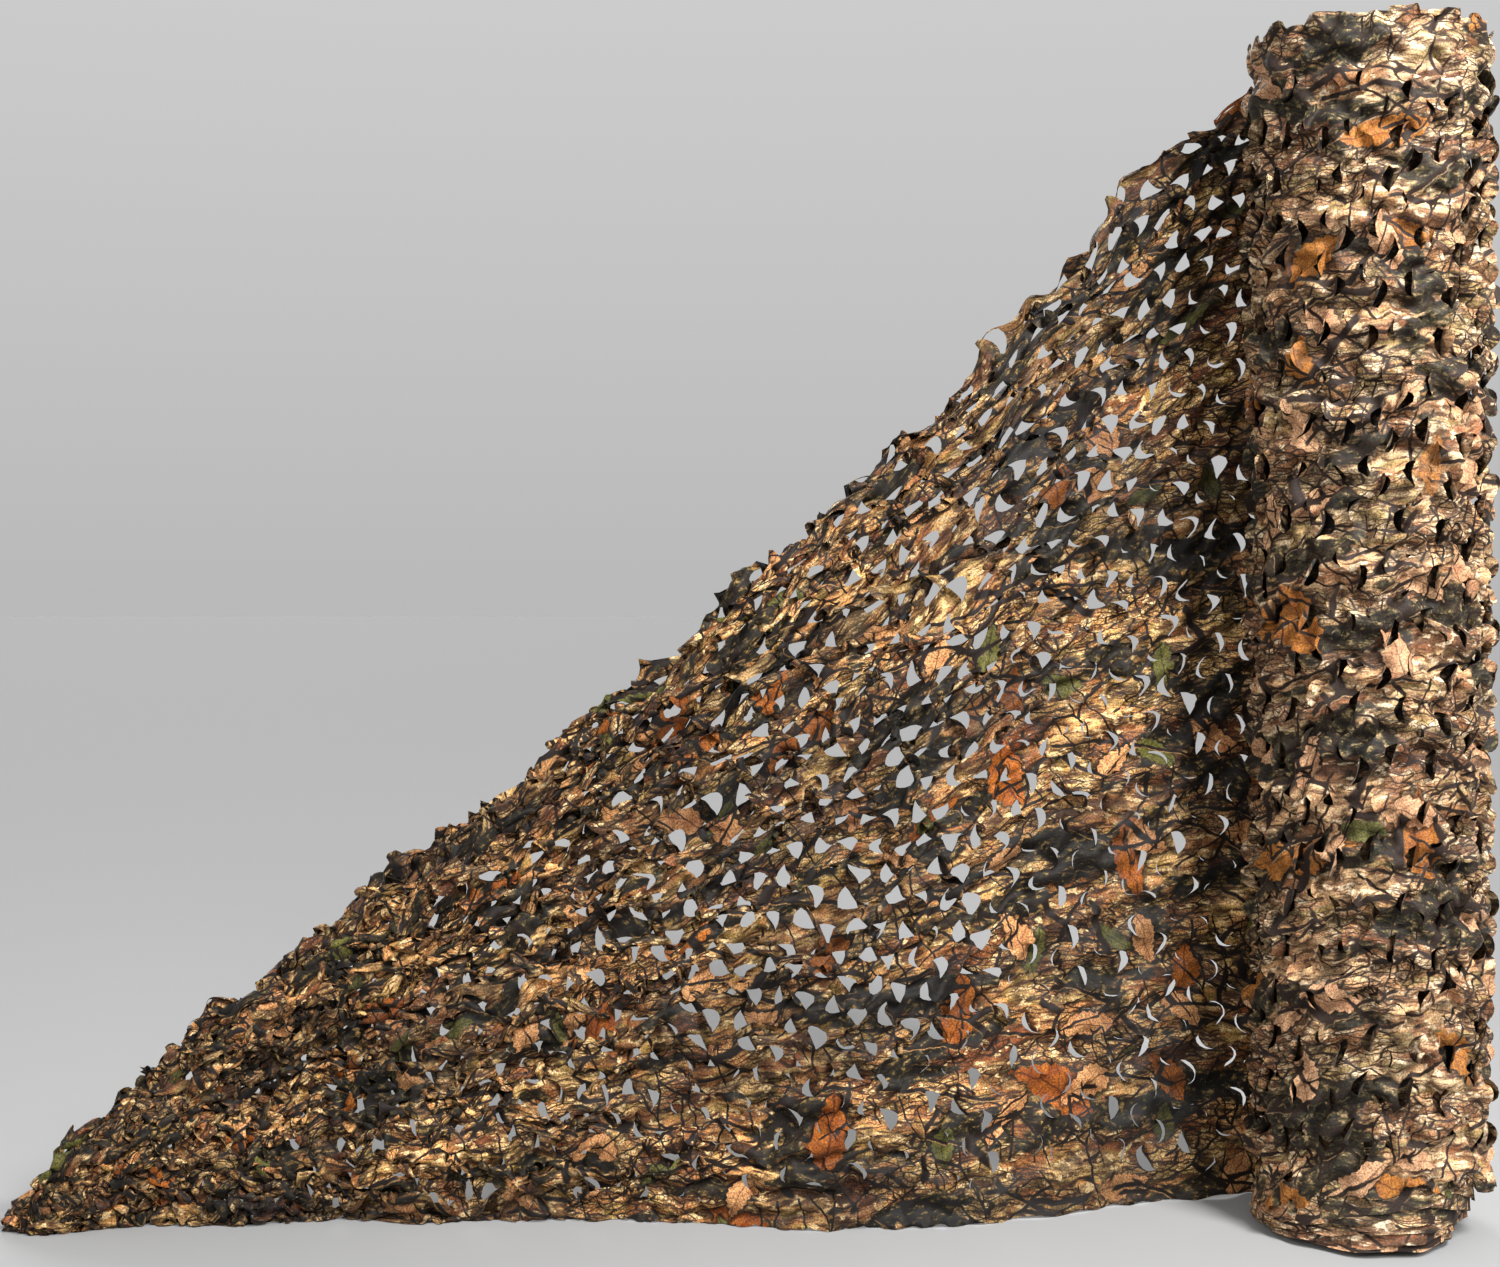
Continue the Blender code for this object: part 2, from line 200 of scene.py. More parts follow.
class Print:
    """Nodes of one printed cloth. Places are those of the flat cloth, in metres."""

    def __init__(self, name):
        self.material = bpy.data.materials.new(name)
        self.material.use_nodes = True
        self.tree = self.material.node_tree
        self.shader = self.tree.nodes["Principled BSDF"]
        cloth = self.tree.nodes.new("ShaderNodeAttribute")
        cloth.attribute_name = "cloth"
        self.cloth = cloth.outputs["Vector"]

    def node(self, kind, inputs, **settings):
        node = self.tree.nodes.new("ShaderNode" + kind)
        for key, value in settings.items():
            setattr(node, key, value)
        for key, value in inputs.items():
            if isinstance(value, bpy.types.NodeSocket):
                self.tree.links.new(value, node.inputs[key])
            else:
                node.inputs[key].default_value = value
        return node

    def maths(self, operation, *values):
        return self.node("Math", dict(enumerate(values)), operation=operation).outputs[0]

    def vector(self, operation, *values):
        return self.node("VectorMath", dict(enumerate(values)), operation=operation).outputs[0]

    def scaled(self, place, along, up, shift=0.0):
        """The place in a pattern that repeats so many times a metre; its shift sets it apart from others."""
        moved = self.vector("ADD", place, (shift, shift * 0.7, 0))
        return self.vector("MULTIPLY", moved, (along, up, 1))

    def noise(self, place, along, up, detail=2.0, rough=0.5, shift=0.0):
        """An uneven field, mostly between 0.3 and 0.7."""
        inputs = {"Vector": self.scaled(place, along, up, shift), "Scale": 1.0}
        inputs |= {"Detail": detail, "Roughness": rough}
        return self.node("TexNoise", inputs, noise_dimensions="2D").outputs["Fac"]

    def warped(self, place, per_metre, strength):
        """The place pushed about, so that what is drawn there is crooked."""
        inputs = {"Vector": self.scaled(place, per_metre, per_metre), "Scale": 1.0, "Detail": 2.0}
        swirl = self.node("TexNoise", inputs, noise_dimensions="2D").outputs["Color"]
        swirl = self.vector("SUBTRACT", swirl, (0.5, 0.5, 0.5))
        return self.vector("ADD", place, self.vector("MULTIPLY", swirl, (strength, strength, 0)))

    def turned(self, place, angle):
        return self.node("VectorRotate", {"Vector": place, "Angle": angle}, rotation_type="Z_AXIS").outputs[0]

    def edges(self, place, along, up, shift=0.0):
        """How far it is to the nearest side of an irregular cell."""
        inputs = {"Vector": self.scaled(place, along, up, shift), "Scale": 1.0, "Randomness": 1.0}
        cells = self.node("TexVoronoi", inputs, voronoi_dimensions="2D", feature="DISTANCE_TO_EDGE")
        return cells.outputs["Distance"]

    def step(self, value, low, high):
        """0 below low, 1 above high; the other way round where low is the higher."""
        inputs = {"Value": value, "From Min": low, "From Max": high}
        return self.node("MapRange", inputs, interpolation_type="SMOOTHSTEP").outputs["Result"]

    def mix(self, share, lower, upper, blend="MIX"):
        """This share of the upper colour over the lower one."""
        node = self.node("Mix", {}, data_type="RGBA", blend_type=blend)
        for socket, value in zip((node.inputs[0], node.inputs[6], node.inputs[7]), (share, lower, upper)):
            if isinstance(value, bpy.types.NodeSocket):
                self.tree.links.new(value, socket)
            else:
                socket.default_value = value
        return node.outputs[2]

    def ramp(self, value, stops):
        node = self.node("ValToRGB", {"Fac": value})
        elements = node.color_ramp.elements
        while len(elements) < len(stops):
            elements.new(0.5)
        for element, (place, colour) in zip(elements, stops):
            element.position, element.color = place, colour
        return node.outputs["Color"]

    def toned(self, colour, value, dark, light, low, high):
        """The colour made darker where value is low and lighter where it is high."""
        tone = self.ramp(value, ((low, (dark, dark, dark, 1)), (high, (light, light, light, 1))))
        return self.mix(1.0, colour, tone, "MULTIPLY")

    def leaves(self, place, per_metre, half_length, half_width, share, shift):
        """Ovate leaves strewn at about per_metre each way: bodies, veins, the shade round them, own tones."""
        at = self.scaled(place, per_metre, per_metre, shift)
        inputs = {"Vector": at, "Scale": 1.0, "Randomness": 0.9}
        cells = self.node("TexVoronoi", inputs, voronoi_dimensions="2D")
        local = self.vector("SUBTRACT", at, cells.outputs["Position"])
        chance = self.node("SeparateColor", {"Color": cells.outputs["Color"]})
        turn = self.maths("MULTIPLY", chance.outputs[0], WHOLE_TURN)
        parts = self.node("SeparateXYZ", {"Vector": self.turned(local, turn)})
        size = self.maths("MULTIPLY_ADD", chance.outputs[2], LEAF_GROWTH, LEAST_LEAF)
        along = self.maths("DIVIDE", self.maths("DIVIDE", parts.outputs[0], size), half_length * per_metre)
        square = self.maths("MULTIPLY", along, along)
        bend = self.maths("MULTIPLY", square, LEAF_BOW * half_width * per_metre)
        across = self.maths("ABSOLUTE", self.maths("SUBTRACT", parts.outputs[1], bend))
        across = self.maths("DIVIDE", self.maths("DIVIDE", across, size), half_width * per_metre)
        curve = self.maths("SUBTRACT", 1.0, square)
        width = self.maths("MULTIPLY", curve, self.maths("MULTIPLY_ADD", along, -LEAF_TAPER, 1.0))
        teeth = self.maths("PINGPONG", self.maths("ADD", along, 2.0), TOOTH_PITCH)
        edge = self.maths("ADD", width, self.maths("MULTIPLY", teeth, TOOTH_SLOPE))
        inside = self.maths("SUBTRACT", edge, self.maths("ADD", across, LEAF_TRIM))
        there = self.step(chance.outputs[1], share, share - 0.01)
        body = self.maths("MULTIPLY", self.step(inside, 0.0, 0.05), there)
        shade = self.maths("MULTIPLY", self.step(inside, -LEAF_SHADE_REACH, 0.0), there)
        side_veins = self.maths("MULTIPLY_ADD", across, -VEIN_SLANT, self.maths("ADD", along, 3.0))
        side_veins = self.step(self.maths("PINGPONG", side_veins, VEIN_PITCH), *SIDE_VEIN)
        side_veins = self.maths("MULTIPLY", side_veins, VEIN_STRENGTH)
        veins = self.maths("MAXIMUM", self.step(across, *MIDRIB), side_veins)
        return body, veins, shade, chance.outputs[2]


def woodland_print(name, tint_and_painted_light, patches=0.0, contrast=1.0):
    """Bark with cracks, deep shade, fallen leaves lying every way, and twigs over them.

    Its tint colours all of it and sets its lightness, which is partly painted light: the loose end's copy is
    darker than the outer turn's, and the core side's much darker, as painted shade. patches says how much
    broad patches differ, and contrast is the print's gamma.
    """
    cloth = Print(name)
    place = cloth.warped(cloth.cloth, per_metre=5.0, strength=0.035)
    crooked = cloth.warped(place, per_metre=38.0, strength=0.009)

    bark = cloth.noise(place, along=3.0, up=11.0, detail=4.0, rough=0.62)
    colour = cloth.ramp(bark, BARK)
    flakes = cloth.noise(crooked, along=26.0, up=44.0, shift=5.7)
    colour = cloth.toned(colour, flakes, dark=0.50, light=1.40, low=0.38, high=0.62)
    rust = cloth.noise(place, along=13.0, up=19.0, shift=15.1)
    rust = cloth.step(rust, 0.56, 0.64)
    colour = cloth.mix(cloth.maths("MULTIPLY", rust, 0.6), colour, RUST)
    streaks = cloth.noise(crooked, along=30.0, up=170.0, detail=3.0, rough=0.6, shift=3.1)
    colour = cloth.mix(cloth.step(streaks, 0.56, 0.34), colour, STREAK)
    chips = cloth.noise(place, along=46.0, up=90.0, detail=3.0, rough=0.6, shift=7.7)
    colour = cloth.mix(cloth.step(chips, 0.56, 0.68), colour, CHIP)

    scaly = cloth.noise(place, along=5.0, up=12.0, shift=11.3)
    scaly = cloth.step(scaly, 0.42, 0.52)
    cracks = cloth.step(cloth.edges(crooked, along=30.0, up=100.0), 0.12, 0.02)
    fine = cloth.step(cloth.edges(crooked, along=120.0, up=190.0, shift=5.0), 0.14, 0.02)
    cracks = cloth.maths("MAXIMUM", cracks, cloth.maths("MULTIPLY", fine, 0.7))
    colour = cloth.mix(cloth.maths("MULTIPLY", cracks, scaly), colour, CRACK)

    shade = cloth.noise(place, along=5.0, up=12.0, detail=4.0, rough=0.65, shift=21.9)
    shade = cloth.step(shade, 0.535, 0.585)
    in_shade = cloth.noise(crooked, along=70.0, up=110.0, detail=3.0, rough=0.65, shift=2.2)
    shade_colour = cloth.ramp(in_shade, DEEP_SHADE)
    colour = cloth.mix(cloth.maths("MULTIPLY", shade, 0.94), colour, shade_colour)

    for per_metre, length, width, share, shift, vein, bodies in LEAVES:
        body, veins, dim, pick = cloth.leaves(crooked, per_metre, length, width, share, shift)
        mottle = cloth.noise(place, along=50.0, up=50.0, shift=shift)
        mottle = cloth.maths("MULTIPLY_ADD", mottle, 0.7, cloth.maths("MULTIPLY", pick, 0.35))
        leaf = cloth.mix(cloth.maths("MULTIPLY", veins, 0.7), cloth.ramp(mottle, bodies), vein)
        colour = cloth.mix(cloth.maths("MULTIPLY", dim, 0.75), colour, LEAF_SHADE)
        colour = cloth.mix(body, colour, leaf)

    for angle, along, up, width, shift, low, lit_side in TWIGS:
        there = cloth.noise(place, along=6.0, up=8.0, shift=shift)
        there = cloth.step(there, low, low + 0.02)
        crossing = cloth.turned(crooked, angle)
        if lit_side:
            beside = cloth.vector("ADD", crossing, (0.0, LIT_OFFSET, 0))
            lit = cloth.step(cloth.edges(beside, along, up, shift), width * 0.9, width * 0.4)
            colour = cloth.mix(cloth.maths("MULTIPLY", lit, there), colour, LIT_TWIG)
        twig = cloth.step(cloth.edges(crossing, along, up, shift), width * 1.1, width * 0.6)
        colour = cloth.mix(cloth.maths("MULTIPLY", twig, there), colour, TWIG)

    speckle = cloth.noise(cloth.cloth, along=420.0, up=420.0, rough=0.6, shift=71.0)
    colour = cloth.toned(colour, speckle, dark=0.50, light=1.30, low=0.34, high=0.68)
    broad = cloth.noise(place, along=2.4, up=5.0, shift=91.0)
    colour = cloth.toned(colour, broad, dark=1 - patches, light=1 + 0.3 * patches, low=0.40, high=0.60)
    colour = cloth.node("Gamma", {"Color": colour, "Gamma": contrast}).outputs["Color"]
    colour = cloth.mix(1.0, colour, tint_and_painted_light + (1,), "MULTIPLY")
    cloth.tree.links.new(colour, cloth.shader.inputs["Base Color"])
    cloth.shader.inputs["Roughness"].default_value = 0.68
    cloth.shader.inputs["Specular IOR Level"].default_value = 0.24
    cloth.shader.inputs["Sheen Weight"].default_value = 0.03
    weave = cloth.noise(cloth.cloth, along=900.0, up=900.0, detail=1.0)
    bump = cloth.node("Bump", {"Height": weave, "Strength": 0.25, "Distance": 0.0006})
    cloth.tree.links.new(bump.outputs["Normal"], cloth.shader.inputs["Normal"])
    return cloth.material


def cloth_piece(name, points, faces, places, print_material):
    """One piece of netting, which keeps its places on the flat cloth for the print."""
    mesh = bpy.data.meshes.new(name)
    mesh.from_pydata(points.tolist(), [], faces.tolist())
    mesh.shade_smooth()
    cloth = mesh.attributes.new("cloth", "FLOAT_VECTOR", "POINT")
    cloth.data.foreach_set("vector", places.ravel())
    mesh.materials.append(print_material)
    piece = bpy.data.objects.new(name, mesh)
    bpy.context.scene.collection.objects.link(piece)
    return piece


def wind_core(name, edge_print, side_painted_shade_print):
    """The core of the roll: its two ragged ends, and its side, whose print is darkened as painted shade."""
    chance = np.random.default_rng(5)
    points, places, faces = [], [], []
    for upper in (False, True):
        edge_points, edge_places, columns = core_edge(upper, chance)
        quads = grid_faces(sum(map(len, points)), EDGE_ROWS, columns)
        faces.append(quads if upper else quads[:, ::-1])
        points.append(edge_points)
        places.append(edge_places)
    side_points, side_places, columns = core_side()
    faces.append(grid_faces(sum(map(len, points)), SIDE_ROWS + 1, columns)[:, ::-1])
    points.append(side_points)
    places.append(side_places)
    side_count = len(faces[-1])
    faces, points, places = (np.concatenate(parts) for parts in (faces, points, places))
    core = cloth_piece(name, points, faces, places, edge_print)
    core.data.materials.append(side_painted_shade_print)
    is_side = np.arange(len(faces)) >= len(faces) - side_count
    core.data.polygons.foreach_set("material_index", is_side.astype(int))
    return core


wound_print = woodland_print("wound_netting_print", tint_and_painted_light=(1.09, 1.13, 1.24))
# The core's side gets the same print darkened to about a third: painted shade for the dark behind the outer
# turn's cuts.
painted_shade_print = woodland_print("painted_shade_netting_print", tint_and_painted_light=(0.35, 0.35, 0.35))
inner_turns = wind_core("inner_turns", wound_print, painted_shade_print)
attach(inner_turns, "root")

# The outer turn and the loose end
# The last of the length, in one piece: once round the roll from its back, and from the back out to the left,
# where the upper selvage sinks to the floor. It is die-cut all over with pairs of bowed cuts, the upper one
# bowed to the left and the lower one to the right. Each frees a tongue that stands out of the cloth.

LOOSE_LENGTH = 2.05                       # of cloth between the roll and the free end
END_TRIM = 0.03                           # the netting ends this much before its point
CUT_ALONG = np.array((0.0575, 0.0190))    # from one pair of cuts to the next, along the cloth
CUT_UP = np.array((-0.0140, 0.0620))      # and across it
BOW_CENTRE = np.array((-0.0101, 0.0145))  # of the upper bow's circle; the lower bow is its half turn
BOW_RADIUS = 0.0174
BOW_FROM, BOW_TO = math.radians(107), math.radians(293)
BOW_STEPS = 10
HINGE_SHARES = (0.25, 0.5, 0.75)          # the points of a tongue's hinge, between the ends of its bow
RIM_ALONG, RIM_UP = 9, 8                  # steps of a cell's lower and right side
SWERVE, SWERVE_AT = 0.0078, 0.142         # a cell's sides swerve round the ends of the cuts
CELL_REACH = 0.05                         # no point of a cell is farther from its centre
GRAIN, GRAIN_TURN, JITTER = 0.0072, 0.3, 0.1    # spacing, slant and unevenness of the points inside a cell
CLEARANCE = 0.6                           # of such a point from the others, in grains
SAME_PLACE, SLIVER = 1e-5, 4e-7           # lengths below the one and triangles below the other are nothing

LOWER_SELVAGE, UPPER_SELVAGE, RIM_SELVAGE = 0.032, 0.006, 0.062    # left whole; the last at the roll's rim
NOTCH_DEPTH, NOTCH_SPAN = 0.018, 0.058    # of the upper selvage of the loose end
FLOOR_NOTCH = 0.002                       # of its lower selvage
FLAP_SPAN, LOWER_FLAP, UPPER_FLAP = 0.067, 0.009, 0.011    # of the roll's selvages
CELL_MARGIN = 0.04                        # cells with centres this far past a selvage are clipped to it

FOOT_RADIUS, TOP_RADIUS, TURN_LOFT = 0.141, 0.148, 0.010
WOUND_SLACK = 0.95                        # of the cloth's length that the outer turn covers, wound slack
LIFT_LOW, LIFT_HIGH = 0.012, 0.084        # of the outer turn's lower selvage, off the floor
LEAVE_HEIGHT, LEAVE_BLEND, LEAVE_DIP = 1.490, 0.1, 0.003    # of the upper selvage where the cloth leaves
REACH = 1.716
POINT_HEIGHT = 0.012                      # of the free end
# How far the cloth is drawn out (along, distance), the sloping selvage's height (distance, height), and how
# far behind the roll's middle the two selvages lie (distance, back).
DRAWN_OUT = ((0.00, 0.000), (0.20, 0.192), (0.60, 0.565), (1.00, 0.930), (1.45, 1.300),
             (LOOSE_LENGTH, REACH))
SLOPING_EDGE = ((0.00, LEAVE_HEIGHT), (0.12, 1.462), (0.25, 1.345), (0.53, 1.040), (0.97, 0.645),
                (1.48, 0.228), (REACH, 0.0))
FLOOR_LINE = ((0.00, 0.138), (0.10, 0.128), (0.20, 0.098), (0.35, 0.052), (0.55, -0.020), (0.80, -0.008),
              (1.05, 0.020), (1.20, 0.000), (1.33, 0.026), (1.52, -0.020), (REACH, -0.015))
EDGE_LINE = ((0.00, 0.145), (0.15, 0.140), (0.50, 0.100), (1.00, 0.055), (REACH, -0.015))
SLOPE_FOLDS = ((0.035, 0.013, 0.030), (0.125, -0.015, 0.040), (0.225, 0.013, 0.045))    # below, out, spread
FLOOR_FOLDS = ((0.085, 0.012, 0.035), (0.170, -0.010, 0.040))                           # above, out, spread
SLOPE_FOLDS_FROM, FLOOR_FOLDS_FROM = (0.12, 0.36), (0.5, 0.9)    # distances over which they rise
WAVE_RISE, WAVE_LENGTH, WAVE_LEAN = 0.006, 0.32, 5
EVEN_SHARE = 0.45        # of the gathering is even all the way up, the rest is near the sloping selvage
STANDING_SHARE = 0.95    # of the flat width stands up where the cloth isn't gathered
MOST_GATHERED = 1.7

# How open the tongues stand: from each first distance to the second, and up the cloth likewise.
BESIDE_ROLL, BESIDE_UP, BESIDE_OPEN = (0.08, 0.32), (0.80, 1.05), 0.7
FARTHER_OUT, FARTHER_UP = (0.34, 0.60), (0.10, 0.50)
DRAWN_FLAT = (0.85, 1.25)
SHUT_UP, SHUT_SHARE = (1.2, 1.55), 0.6
# Their tilt at the hinge in degrees, with what an open or a flat-drawn part adds, and its spread and limits.
WOUND_TILT, LOOSE_TILT, OPEN_TILT, DRAWN_TILT = 70, 32, 52, 26
TILT_SPREAD, OPEN_SPREAD = 19, 5
TILT_LIMITS = (12, 115)
# Their least and most curl, in radians a metre, and the share of them that stands to the front.
WOUND_CURL, LOOSE_CURL, OPEN_CURL = (-52, 15), (-55, 40), (43, 15)
WOUND_FRONT, LOOSE_FRONT, OPEN_FRONT = 0.92, 0.75, 0.2

# Where the cloth is gathered more than this it lies in laps, each of this many rows of cuts.
LAPPED, LAP_ROWS, LAP_DEPTH, LAP_DRIFT = (1.25, 1.75), 2, 0.010, 2.2
# Uneven fields over the cloth: how fine along and up, how many waves, and their size.
PLEAT_DRIFT, PLEAT_PATCHES = ((45, 16), 9, 0.13), ((70, 30), 9, 0.30)
ROUGHNESS = ((90, 90), 12, 0.0014)
WOUND_SPARE, LOOSE_SPARE, MOST_SPARE = 0.36, 0.20, 1.8    # share of the width that pleats take up
LAPPED_PLEATS = 0.15                                      # and of it what laps leave to them
PLEAT_LIMITS, PLEAT_ROUND = (0.15, 1.7), 0.8
CALM_FOOT, CALM_LOOSE, CALM_WOUND = 0.03, 0.02, 0.09      # strips along the selvages without folds

# Drawing the cloth's sides to their true lengths, in this many rounds.
ROUNDS, KEPT_SPEED, EAGERNESS, HOMING = 110, 0.78, 1.1, 0.12
TONGUE_STIFF, CLOTH_STIFF = 0.8, 0.2      # against bending, where a side's pull is 1
WOUND_EASE = 1.06                         # the outer turn's sides may be this much longer
LOOSE_OUT, LOOSE_IN = 0.030, 0.026        # no point strays farther from the smooth form
WOUND_OUT, WOUND_IN = 0.028, 0.013
BACKMOST, LOWEST = 0.163, 0.0008          # nothing stands farther back or lower

CURL_WIDTH = 0.050                        # of the strip along a selvage that curls
FLAP_SPANS, FRILL_SPANS = (0.083, 0.061, 0.13), (0.11, 0.07, 0.19)


def bow_outline():
    """The upper bow, from its upper end round to the neck between the two bows."""
    angles = np.linspace(BOW_FROM, BOW_TO, BOW_STEPS)
    return BOW_CENTRE + BOW_RADIUS * np.stack((np.cos(angles), np.sin(angles)), 1)


def cell_rim():
    """A cell's rim round its centre: its lower and right sides, and the half turns of both."""
    across = (np.arange(RIM_ALONG) / RIM_ALONG) - 0.5
    swerve = np.exp(0.5 - 0.5 * (across / SWERVE_AT) ** 2) * (1 - 16 * across ** 4)
    swerve = -SWERVE * across / SWERVE_AT * swerve
    lower = across[:, None] * CUT_ALONG - CUT_UP / 2 + swerve[:, None] * np.array((0, 1))
    upward = (np.arange(RIM_UP) / RIM_UP) - 0.5
    right = CUT_ALONG / 2 + upward[:, None] * CUT_UP
    return np.concatenate((lower, right, -lower, -right))


def is_inside(rim, place):
    """Whether a level line from the place crosses the rim an odd number of times."""
    after = np.roll(rim, -1, 0)
    rise = np.where(after[:, 1] == rim[:, 1], 1, after[:, 1] - rim[:, 1])
    at = rim[:, 0] + (place[1] - rim[:, 1]) / rise * (after[:, 0] - rim[:, 0])
    crossed = (rim[:, 1] > place[1]) != (after[:, 1] > place[1])
    return (crossed & (place[0] < at)).sum() % 2 == 1


def cell_points():
    """Points of a cell: its rim, its two bows, the hinges of their tongues, and a jittered grid between."""
    bow, rim = bow_outline(), cell_rim()
    hinge = [bow[0] + (bow[-1] - bow[0]) * share for share in HINGE_SHARES]
    kept = list(rim) + list(bow) + list(-bow) + hinge + [-place for place in hinge]
    chance = np.random.default_rng(3)
    turn = np.array((math.cos(GRAIN_TURN), math.sin(GRAIN_TURN)))
    across = np.array((-turn[1], turn[0]))
    reach = int(CELL_REACH / GRAIN)
    for i in range(-reach, reach + 1):
        for j in range(-reach, reach + 1):
            jitter = chance.uniform(-JITTER, JITTER, 2)
            place = GRAIN * ((i + 0.5 * (j % 2)) * turn + 0.87 * j * across + jitter)
            distances = np.linalg.norm(np.array(kept) - place, axis=1)
            if is_inside(rim, place) and distances.min() > CLEARANCE * GRAIN:
                kept.append(place)
    return np.array(kept), len(rim)


def netting_cell():
    """One cell: points, triangles with each cut's lips parted, each point's tongue, and lips' partners."""
    points, rim_count = cell_points()
    hinge_count = len(HINGE_SHARES)
    first = rim_count + 2 * BOW_STEPS
    bows = [list(range(rim_count + k * BOW_STEPS, rim_count + (k + 1) * BOW_STEPS)) for k in (0, 1)]
    hinges = [list(range(first + hinge_count * k, first + hinge_count * (k + 1))) for k in (0, 1)]
    edges = [(k, (k + 1) % rim_count) for k in range(rim_count)]
    for bow, hinge in zip(bows, hinges):
        chain = [bow[0]] + hinge + [bow[-1]]
        edges += list(zip(bow[:-1], bow[1:])) + list(zip(chain[:-1], chain[1:]))
    corners = [tuple(place) for place in points]
    inside_only, nearness = 1, 1e-6
    _, _, triangles, sources, _, _ = delaunay_2d_cdt(corners, edges, [], inside_only, nearness)
    triangles = np.array([[sources[k][0] for k in triangle] for triangle in triangles])

    tongue = np.zeros(len(points), int)
    partner = {}
    for number, (sign, bow) in enumerate(zip((1, -1), bows), 1):
        start, end = points[bow[0]], points[bow[-1]]
        way = (end - start) / np.linalg.norm(end - start)
        outward = np.array((way[1], -way[0]))
        beyond = (points - start) @ outward > SAME_PLACE
        within = np.linalg.norm(points - sign * BOW_CENTRE, axis=1) < BOW_RADIUS - SAME_PLACE
        tongue[within & beyond] = number
        centres = points[triangles].mean(1)
        own = np.linalg.norm(centres - sign * BOW_CENTRE, axis=1) < BOW_RADIUS
        own &= (centres - start) @ outward > 0
        for k in bow[1:-1]:
            partner[len(points)] = k
            triangles[own[:, None] & (triangles == k)] = len(points)
            points = np.concatenate((points, points[k:k + 1]))
            tongue = np.append(tongue, number)
    return points, triangles, tongue, rim_count, partner


def selvage_line(along, upper):
    """How far a selvage is cut back: in pointed flaps on the loose end, in squarer ones on the roll."""
    beat = np.sin(2 * math.pi * along / NOTCH_SPAN + 2.0 * np.sin(21 * along) + upper)
    wave = np.sin(2 * math.pi * along / FLAP_SPAN + 2.2 * np.sin(17 * along) + 2 * upper)
    step = 0.5 + 0.5 * np.tanh(9 * wave)
    if not upper:
        return np.where(along > 0, LOWER_FLAP * step, FLOOR_NOTCH + FLOOR_NOTCH * beat)
    return np.where(along > 0, UPPER_FLAP * step, NOTCH_DEPTH * np.abs(beat) ** 0.7)


def flat_netting(start, end):
    """A stretch of flat netting: points, triangles, tongue numbers, cell numbers and cell centres."""
    cell, cell_faces, cell_tongue, rim_count, partner = netting_cell()
    top, middle = bow_outline()[0][1], bow_outline()[-1][1]
    inverse = np.linalg.inv(np.stack((CUT_ALONG, CUT_UP), 1))
    corners = np.array([(along, up) for along in (start, end) for up in (0, CLOTH_WIDTH)]) @ inverse.T
    low, high = np.floor(corners.min(0)).astype(int) - 1, np.ceil(corners.max(0)).astype(int) + 1
    points, faces, tongues, cells, tags, centres = [], [], [], [], [], []
    for i in range(low[0], high[0] + 1):
        for j in range(low[1], high[1] + 1):
            centre = i * CUT_ALONG + j * CUT_UP
            if not (start <= centre[0] < end and -CELL_MARGIN < centre[1] < CLOTH_WIDTH + CELL_MARGIN):
                continue
            lower, upper = LOWER_SELVAGE, CLOTH_WIDTH - (RIM_SELVAGE if centre[0] > 0 else UPPER_SELVAGE)
            whole = [number for number, below, above in ((1, middle, top), (2, -top, -middle))
                     if centre[1] + below < lower or centre[1] + above > upper]
            closed = np.array([partner[k] if k in partner and cell_tongue[k] in whole else k
                               for k in range(len(cell))])
            count = len(centres) * len(cell)
            points.append(cell + centre)
            faces.append(closed[cell_faces] + count)
            tongues.append(np.where(np.isin(cell_tongue, whole), 0, cell_tongue))
            cells.append(np.full(len(cell), len(centres)))
            # Neighbours share the points of their rims, and the lips of a cut stay apart.
            tags.append(np.where(np.arange(len(cell)) < rim_count, 0, count + 1 + np.arange(len(cell))))
            centres.append(centre)
    points, faces, tongues, cells, tags = map(np.concatenate, (points, faces, tongues, cells, tags))
    key = np.column_stack((np.round(points * 1e5).astype(int), tags))
    _, first, back = np.unique(key, axis=0, return_index=True, return_inverse=True)
    points, tongues, cells, faces = points[first], tongues[first], cells[first], back.ravel()[faces]
    lowest, highest = selvage_line(points[:, 0], 0), CLOTH_WIDTH - selvage_line(points[:, 0], 1)
    points[:, 1] = points[:, 1].clip(lowest, highest)
    a, b, c = (points[faces[:, k]] for k in range(3))
    area = (b[:, 0] - a[:, 0]) * (c[:, 1] - a[:, 1]) - (b[:, 1] - a[:, 1]) * (c[:, 0] - a[:, 0])
    faces = faces[np.abs(area) > SLIVER]
    used = np.unique(faces)
    renumber = np.zeros(len(points), int)
    renumber[used] = np.arange(len(used))
    return points[used], renumber[faces], tongues[used], cells[used], np.array(centres)


def smooth_line(table, at):
    """Smooth curve through the table's points."""
    xs, ys = np.array(table).T
    slopes = np.gradient(ys, xs)
    slopes[1:-1] = (ys[2:] - ys[:-2]) / (xs[2:] - xs[:-2])
    k = np.clip(np.searchsorted(xs, at) - 1, 0, len(xs) - 2)
    length = xs[k + 1] - xs[k]
    t = (at - xs[k]) / length
    low = (1 + 2 * t) * (1 - t) ** 2 * ys[k] + t * (1 - t) ** 2 * length * slopes[k]
    return low + t * t * (3 - 2 * t) * ys[k + 1] + t * t * (t - 1) * length * slopes[k + 1]


